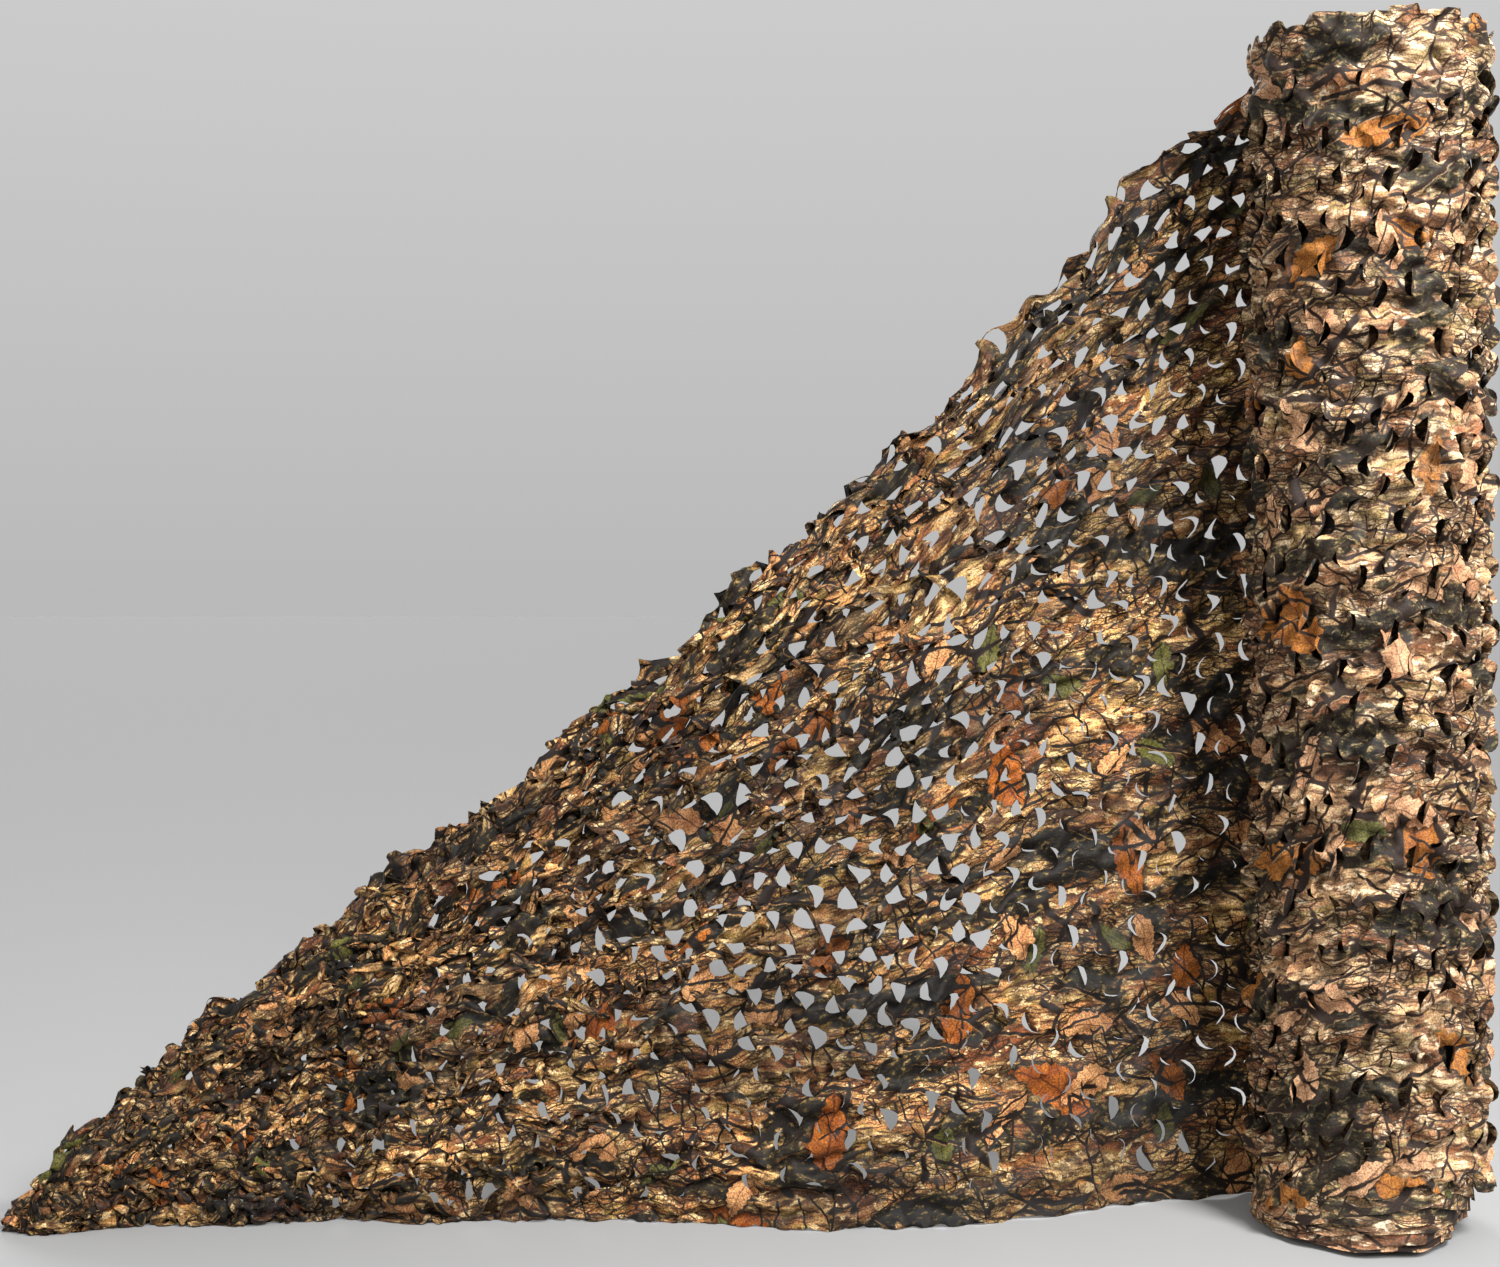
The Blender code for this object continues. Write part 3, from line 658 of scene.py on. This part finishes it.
def loose_place(along, up):
    """Places of the loose end's smooth form."""
    distance = smooth_line(DRAWN_OUT, np.clip(-along, 0, LOOSE_LENGTH))
    height = np.maximum(smooth_line(SLOPING_EDGE, distance), POINT_HEIGHT)
    share = np.clip(up / CLOTH_WIDTH, 0, 1)
    power = (STANDING_SHARE * CLOTH_WIDTH / height - EVEN_SHARE) / (1 - EVEN_SHARE)
    power = np.clip(power, 1.0, MOST_GATHERED)
    rise = (1 - EVEN_SHARE) * (1 - (1 - share) ** power) + EVEN_SHARE * share
    z = height * rise
    stand = smooth_line(FLOOR_LINE, distance) * (1 - rise) + smooth_line(EDGE_LINE, distance) * rise
    slope = math.cos(math.atan2(STANDING_WIDTH, REACH))
    folds = WAVE_RISE * np.sin(2 * math.pi * distance / WAVE_LENGTH + WAVE_LEAN * rise)
    for below, out, spread in SLOPE_FOLDS:
        folds = folds + out * np.exp(-(((height - z) * slope - below) / spread) ** 2)
    folds = folds * ramp(distance, *SLOPE_FOLDS_FROM)
    for above, out, spread in FLOOR_FOLDS:
        folds = folds + out * np.exp(-((z - above) / spread) ** 2) * ramp(distance, *FLOOR_FOLDS_FROM)
    return np.stack((-distance, stand - folds, z), 1)


def wound_place(along, up):
    """Places of the outer turn's smooth form."""
    mean_radius = (FOOT_RADIUS + TOP_RADIUS) / 2
    angle = LEAVE_ANGLE - WOUND_SLACK * along / mean_radius
    lift = LIFT_LOW + (LIFT_HIGH - LIFT_LOW) * towards(angle, LIFT_SIDE, 2)
    low = lift * ramp(along, 0, 0.12) * (1 - 0.7 * ramp(along, 0.8, 0.95))
    top = LEAVE_HEIGHT + (STANDING_WIDTH - LEAVE_HEIGHT) * ramp(along, 0, LEAVE_BLEND)
    z = low + (top - low) * up / CLOTH_WIDTH
    radius = FOOT_RADIUS + (TOP_RADIUS - FOOT_RADIUS) * z / STANDING_WIDTH
    radius = radius - TURN_LOFT * WOUND_SLACK * along / (2 * math.pi * mean_radius)
    radius = radius - LEAVE_DIP * (1 - ramp(along, 0, LEAVE_BLEND))
    return np.stack((radius * np.cos(angle), radius * np.sin(angle), z), 1)


def cloth_place(points):
    along, up = points.T
    return np.where(along[:, None] > 0, wound_place(along.clip(0), up), loose_place(along.clip(max=0), up))


def cloth_frames(points):
    """The smooth form's place, its ways along, up and out, and how much of its width gathering leaves."""
    step = 0.004
    place = cloth_place(points)
    along = cloth_place(points + (step, 0)) - cloth_place(points - (step, 0))
    above, below = np.minimum(points[:, 1] + step, CLOTH_WIDTH), np.maximum(points[:, 1] - step, 0)
    higher = cloth_place(np.column_stack((points[:, 0], above)))
    up = higher - cloth_place(np.column_stack((points[:, 0], below)))
    up = up / (above - below)[:, None]
    along /= np.linalg.norm(along, axis=1, keepdims=True) + 1e-12
    out = np.cross(up, along)
    fullness = np.linalg.norm(out, axis=1, keepdims=True)
    out /= fullness + 1e-12
    return place, along, np.cross(along, out), out, fullness[:, 0].clip(0.08, 1.2)


def bend_tongues(points, tongues, cells, centres, chance):
    """Places of the flat cloth with its tongues standing: (along, up, out)."""
    bent = np.column_stack((points, np.zeros(len(points))))
    wound, distance, up = centres[:, 0] > 0, -centres[:, 0], centres[:, 1]
    drawn_part = ramp(distance, *DRAWN_FLAT)
    beside_roll = BESIDE_OPEN * ramp(distance, *BESIDE_ROLL) * ramp(up, *BESIDE_UP)
    farther_out = ramp(distance, *FARTHER_OUT) * ramp(up, *FARTHER_UP)
    open_part = np.maximum(beside_roll, farther_out) * (1 - drawn_part)
    open_part = open_part * (1 - SHUT_SHARE * ramp(up, *SHUT_UP))
    for number, sign in ((1, 1), (2, -1)):
        bow = sign * bow_outline()
        way = (bow[-1] - bow[0]) / np.linalg.norm(bow[-1] - bow[0])
        outward = np.array((way[1], -way[0]))
        own = tongues == number
        reach = ((points - centres[cells]) - bow[0])[own] @ outward
        tilt = np.where(wound, WOUND_TILT, LOOSE_TILT + OPEN_TILT * open_part + DRAWN_TILT * drawn_part)
        tilt = tilt + chance.normal(0, TILT_SPREAD - OPEN_SPREAD * open_part, len(centres))
        least_curl, most_curl = (np.where(wound, WOUND_CURL[k], LOOSE_CURL[k] + OPEN_CURL[k] * open_part)
                                 for k in (0, 1))
        curl = chance.uniform(least_curl, most_curl)
        front_share = np.where(wound, WOUND_FRONT, LOOSE_FRONT - OPEN_FRONT * open_part)
        front = np.where(chance.random(len(centres)) < front_share, 1, -1)[cells[own]]
        tilt, curl = np.radians(tilt.clip(*TILT_LIMITS))[cells[own]], curl[cells[own]]
        curl = np.where(np.abs(curl) < 1, 1, curl)
        turned = tilt + curl * reach
        along = (np.sin(turned) - np.sin(tilt)) / curl
        bent[own, :2] += (along - reach)[:, None] * outward
        bent[own, 2] = front * (np.cos(tilt) - np.cos(turned)) / curl
    return bent


def uneven(points, fineness, count, size, chance):
    """An uneven field over the cloth, made of waves that run every way."""
    waves = (np.sin(points @ chance.normal(0, fineness) + chance.uniform(0, ANY_PHASE)) for _ in range(count))
    return sum(waves) * size


def fold(points, wound, fullness, chance):
    """How far laps move the cloth up and out, and how far its pleats and roughness stand out."""
    row = (points @ np.linalg.inv(np.stack((CUT_ALONG, CUT_UP), 1)).T)[:, 1]
    drift = uneven(points, *PLEAT_DRIFT, chance)
    lapped = ramp(1 / fullness, *LAPPED) * ~wound
    lap = np.mod((row + LAP_DRIFT * drift) / LAP_ROWS, 1.0)
    facing = (1 + fullness) / 2
    climb = np.where(lap < facing, lap / facing, (1 - lap) / (1 - facing).clip(0.01))
    lap_up = lapped * LAP_ROWS * CUT_UP[1] * (1 - fullness ** 2) / 2 * (climb - 0.5)
    lap_out = lapped * LAP_DEPTH * (1 - 2 * climb)
    least_spare = np.where(wound, WOUND_SPARE, LOOSE_SPARE)
    spare = np.clip(1 / np.maximum(fullness, 0.2) - 1, least_spare, MOST_SPARE)
    spare = spare * (1 - (1 - LAPPED_PLEATS) * lapped)
    depth = CUT_UP[1] / math.pi * np.sqrt(spare)
    depth = depth * (1 + uneven(points, *PLEAT_PATCHES, chance)).clip(*PLEAT_LIMITS)
    pleat = depth * (2 * np.abs(np.sin(math.pi * (row + drift))) ** PLEAT_ROUND - 1)
    rough = uneven(points, *ROUGHNESS, chance)
    calm = ramp(points[:, 1], 0.0, CALM_FOOT)
    calm = calm * ramp(CLOTH_WIDTH - points[:, 1], -0.01, np.where(wound, CALM_WOUND, CALM_LOOSE))
    return lap_up * calm, lap_out * calm, (pleat + rough) * calm


def find_springs(faces):
    """Every side of a triangle, and every pair of points that face each other across a side."""
    sides = np.sort(np.concatenate((faces[:, [0, 1]], faces[:, [1, 2]], faces[:, [2, 0]])), 1)
    across = np.concatenate((faces[:, 2], faces[:, 0], faces[:, 1]))
    order = np.lexsort((sides[:, 1], sides[:, 0]))
    sides, across = sides[order], across[order]
    same = (sides[1:] == sides[:-1]).all(1)
    return sides[np.concatenate(([True], ~same))], np.column_stack((across[:-1][same], across[1:][same]))


def draw_to_length(places, smooth, out_way, bent, faces, tongues, cells, wound):
    """Moves the places near the smooth form until the triangles' sides have the lengths of the bent cloth."""
    sides, pairs = find_springs(faces)
    first, second = np.concatenate((sides, pairs)).T
    rest = np.linalg.norm(bent[first] - bent[second], axis=1) * np.where(wound[first], WOUND_EASE, 1.0)
    stiff = np.where((tongues[pairs] > 0).any(1), TONGUE_STIFF, CLOTH_STIFF)
    pull = np.concatenate((np.ones(len(sides)), stiff))
    load = np.bincount(first, pull, len(places)) + np.bincount(second, pull, len(places))
    per_cell = np.bincount(cells).clip(1)
    most_out, most_in = np.where(wound, WOUND_OUT, LOOSE_OUT), np.where(wound, WOUND_IN, LOOSE_IN)
    speed = np.zeros_like(places)
    for _ in range(ROUNDS):
        apart = places[second] - places[first]
        length = np.sqrt((apart ** 2).sum(1)) + 1e-9
        move = apart * (pull * 0.5 * (length - rest) / length)[:, None]
        for k in range(3):
            force = np.bincount(first, move[:, k], len(places)) - np.bincount(second, move[:, k], len(places))
            speed[:, k] = KEPT_SPEED * speed[:, k] + EAGERNESS * force / load
        places += speed
        strayed = places - smooth
        for k in range(3):
            places[:, k] -= HOMING * (np.bincount(cells, strayed[:, k]) / per_cell)[cells]
        out = ((places - smooth) * out_way).sum(1)
        places += (out.clip(-most_in, most_out) - out)[:, None] * out_way
        places[:, 2] = np.maximum(places[:, 2], LOWEST)


def curl_selvages(points, wound, up_way, out_way, chance):
    """How far the selvages curl: flaps of the sloping one, the rim of the roll, and frills at its foot."""
    along = points[:, 0]
    near_top = ramp(points[:, 1], CLOTH_WIDTH - CURL_WIDTH, CLOTH_WIDTH)
    near_foot = ramp(points[:, 1], CURL_WIDTH, 0.0)
    flap = wander(along, FLAP_SPANS, 1.0, chance)
    peak = np.abs(np.sin(math.pi * along / NOTCH_SPAN + np.sin(17 * along))) ** 2
    frill = wander(along, FRILL_SPANS, 1.0, chance)
    out = near_top * np.where(wound, 0.003 + 0.005 * flap, 0.026 * flap)
    out = out + near_foot * np.where(wound, 0.006 + 0.012 * frill, 0.006 * frill)
    up = near_top * np.where(wound, 0.003 * flap, 0.016 * peak - 0.003)
    return out_way * out[:, None] + up_way * up[:, None]


def crumple(points, faces, tongues, cells, centres, chance):
    """Lays the stretch of cloth on its smooth form and lets it take its true lengths there."""
    smooth, along_way, up_way, out_way, fullness = cloth_frames(points)
    bent = bend_tongues(points, tongues, cells, centres, chance)
    wound = points[:, 0] > 0
    lap_up, lap_out, folded = fold(points, wound, fullness, chance)
    smooth = smooth + up_way * lap_up[:, None] + out_way * lap_out[:, None]
    shift = bent[:, :2] - points
    out = bent[:, 2] + folded
    places = smooth + along_way * shift[:, :1] + up_way * shift[:, 1:] + out_way * out[:, None]
    draw_to_length(places, smooth, out_way, bent, faces, tongues, cells, wound)
    places += curl_selvages(points, wound, up_way, out_way, chance)
    places[:, 1] = np.minimum(places[:, 1], BACKMOST)
    places[:, 2] = np.maximum(places[:, 2], LOWEST)
    return places


def cut_stretch(name, chosen, print_material):
    """One stretch of the laid cloth, with its flat layout."""
    faces = cloth_faces[chosen]
    used, renumbered = np.unique(faces, return_inverse=True)
    places = np.column_stack((flat[used], np.zeros(len(used))))
    piece = cloth_piece(name, laid[used], renumbered.reshape(-1, 3), places, print_material)
    low, high = flat[used].min(0), flat[used].max(0)
    layout = ((flat - low) / (high - low).max())[faces.ravel()]
    piece.data.uv_layers.new(name="OFBake").uv.foreach_set("vector", layout.ravel())
    return piece


flat, cloth_faces, tongue_of, cell_of, cell_centres = flat_netting(-LOOSE_LENGTH + END_TRIM, OUTER_LENGTH)
laid = crumple(flat, cloth_faces, tongue_of, cell_of, cell_centres, np.random.default_rng(21))
face_along = flat[cloth_faces][:, :, 0].mean(1)
outer_turn = cut_stretch("outer_turn", face_along > 0, wound_print)
# Darker than the outer turn's copy, with more contrast and broad dark patches: painted shade for the weaker
# light out on the loose end.
loose_print = woodland_print("loose_netting_print", tint_and_painted_light=(1.23, 1.25, 1.17), patches=0.45, contrast=1.25)
loose_net = cut_stretch("loose_net", face_along <= 0, loose_print)

for piece, node, slot in ((outer_turn, "net_roll", "roll_netting"),
                          (loose_net, "loose_end", "loose_netting")):
    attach(piece, "root")
    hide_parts(node)

# Floor, light and camera
# A plain pale floor under a plain pale sky. A far and a near soft light stand to the right of the front, so
# that the roll is the brightest, and weaker ones stand to the left and behind.

FLOOR_HALF = 60
FLOOR_TONE = 0.31
SKY_TONES = ((0.0, 0.487), (0.30, 0.61))    # at the horizon, and from a little above it
ROLL_MIDDLE, UPPER_FRONT = (0, 0, 0.8), (0, -0.15, 1.2)    # what the lights are aimed at
SUN_DISTANCE, AREA_DISTANCE, AREA_LEVEL = 5.0, 2.2, 9.6
PHOTO_WIDTH = 1500                          # pixels, like the next two
FOCAL_LENGTH, AXIS_DROP = 1977, 42.5
SENSOR_WIDTH = 36

floor_mesh = bpy.data.meshes.new("floor")
floor_corners = [(x * FLOOR_HALF, y * FLOOR_HALF, 0) for x, y in ((-1, -1), (1, -1), (1, 1), (-1, 1))]
floor_mesh.from_pydata(floor_corners, [], [(0, 1, 2, 3)])
floor = bpy.data.objects.new("floor", floor_mesh)
bpy.context.scene.collection.objects.link(floor)
floor_material = bpy.data.materials.new("floor")
floor_material.use_nodes = True
floor_shader = floor_material.node_tree.nodes["Principled BSDF"]
floor_shader.inputs["Base Color"].default_value = (FLOOR_TONE, FLOOR_TONE, FLOOR_TONE, 1)
floor_shader.inputs["Roughness"].default_value = 0.9
floor_shader.inputs["Specular IOR Level"].default_value = 0.1
floor.data.materials.append(floor_material)

world = bpy.data.worlds.new("studio")
bpy.context.scene.world = world
world.use_nodes = True
sky = world.node_tree
direction = sky.nodes.new("ShaderNodeTexCoord")
parts = sky.nodes.new("ShaderNodeSeparateXYZ")
heights = sky.nodes.new("ShaderNodeValToRGB")
sky.links.new(direction.outputs["Generated"], parts.inputs[0])
sky.links.new(parts.outputs["Z"], heights.inputs[0])
sky.links.new(heights.outputs["Color"], sky.nodes["Background"].inputs["Color"])
for element, (place, level) in zip(heights.color_ramp.elements, SKY_TONES):
    element.position, element.color = place, (level, level, level, 1)
bpy.context.scene.view_settings.view_transform = "Standard"


def soft_light(name, kind, side, height, distance, aim):
    """A light of this kind, side degrees right of the front and height degrees up, aimed at a place."""
    data = bpy.data.lights.new(name, kind)
    lamp = bpy.data.objects.new(name, data)
    bpy.context.scene.collection.objects.link(lamp)
    side, height = math.radians(side), math.radians(height)
    out = distance * math.cos(height)
    lamp.location = (aim[0] + out * math.sin(side), aim[1] - out * math.cos(side),
                     aim[2] + distance * math.sin(height))
    lamp.rotation_euler = (math.pi / 2 - height, 0, side)
    return data


far_key = soft_light("far_key", "SUN", 26, 35, SUN_DISTANCE, ROLL_MIDDLE)
far_key.energy, far_key.angle = 2.0, math.radians(12)
near_key = soft_light("near_key", "AREA", 28, 35, AREA_DISTANCE, UPPER_FRONT)
near_key.energy, near_key.size = math.pi * AREA_DISTANCE ** 2 * AREA_LEVEL, 0.7
back_fill = soft_light("back_fill", "SUN", 195, 35, SUN_DISTANCE, ROLL_MIDDLE)
back_fill.energy, back_fill.angle = 1.7, math.radians(30)
left_fill = soft_light("left_fill", "SUN", -42, 25, SUN_DISTANCE, ROLL_MIDDLE)
left_fill.energy, left_fill.angle = 1.0, math.radians(30)

camera_data = bpy.data.cameras.new("camera")
camera = bpy.data.objects.new("camera", camera_data)
bpy.context.scene.collection.objects.link(camera)
bpy.context.scene.camera = camera
camera_data.sensor_width = SENSOR_WIDTH
camera_data.lens = SENSOR_WIDTH * FOCAL_LENGTH / PHOTO_WIDTH
camera_data.shift_y = -AXIS_DROP / PHOTO_WIDTH
camera.location = (-0.78, -2.5, 0.80)
camera.rotation_euler = (math.radians(90), 0, 0)
